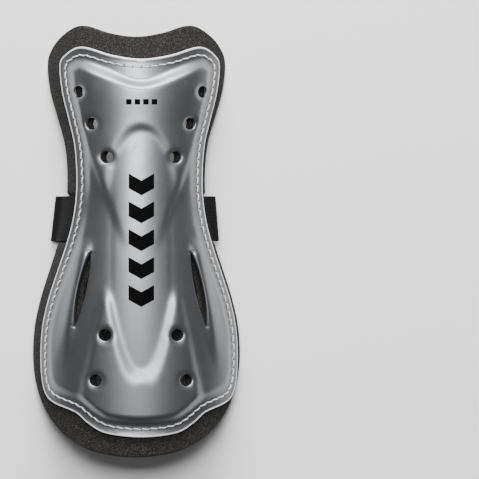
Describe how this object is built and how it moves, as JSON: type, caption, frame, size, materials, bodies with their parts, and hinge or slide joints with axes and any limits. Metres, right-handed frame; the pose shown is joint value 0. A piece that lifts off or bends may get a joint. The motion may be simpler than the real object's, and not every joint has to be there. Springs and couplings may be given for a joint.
{
  "type": "shin guard",
  "caption": "Moulded shin guard: vented plastic shell sewn over a foam pad, with an elastic strap that closes behind the leg with hook and loop.",
  "frame": {"origin": "bottom centre of the bounding box, where the pad's edges stand on the floor with the guard lying face up", "axes": "+Z out of the front of the guard, +Y along the shin towards the ankle end, +X to the right as seen from the front"},
  "size_m": [0.1156, 0.2392, 0.0468],
  "materials": {
    "silver_plastic": "glossy silver-grey moulded sheet",
    "black_foam": "fine closed-cell foam, matt",
    "white_thread": "twisted white sewing thread",
    "black_thread": "twisted black sewing thread",
    "black_elastic": "ribbed woven elastic",
    "hook_tape": "hook tape",
    "loop_tape": "brushed loop pile"
  },
  "bodies": {
    "guard": {"shell": "silver_plastic", "foam_pad": "black_foam", "seam_needle_thread": "white_thread", "seam_bobbin_thread": "white_thread", "strap_sewn_end": "black_elastic", "tab_sewn_end": "black_elastic"},
    "strap": {"strap_elastic_run": "black_elastic"},
    "strap_lead": {"strap_lead": "black_elastic"},
    "hook_end": {"strap_hook_end": "black_elastic", "hook_patch": "hook_tape", "hook_patch_stitching": "black_thread"},
    "tab": {"tab_run": "black_elastic", "loop_patch": "loop_tape", "loop_patch_stitching": "black_thread"}
  },
  "joints": [
    {"name": "strap_fold", "type": "hinge", "parent": "guard", "child": "strap", "pos_m": [-0.04386, 0.0125, 0.0026], "axis": [0, 1, 0], "range_deg": [0, 150]},
    {"name": "strap_stretch", "type": "slide", "parent": "strap", "child": "strap_lead", "axis": [1, 0, 0], "range_m": [0, 0.02], "stiffness_N_per_m": 150, "deforming": ["strap_elastic_run"]},
    {"name": "closure_peel", "type": "hinge", "parent": "strap_lead", "child": "hook_end", "pos_m": [-0.01, 0.0125, 0], "axis": [0, 1, 0], "range_deg": [0, 120]},
    {"name": "tab_fold", "type": "hinge", "parent": "guard", "child": "tab", "pos_m": [0.04306, 0.0125, 0.00878], "axis": [0, 1, 0], "range_deg": [-105, 0]}
  ],
  "couplings": [
    {"joint": "tab_fold", "follows": "strap_fold", "ratio": -0.7}
  ]
}
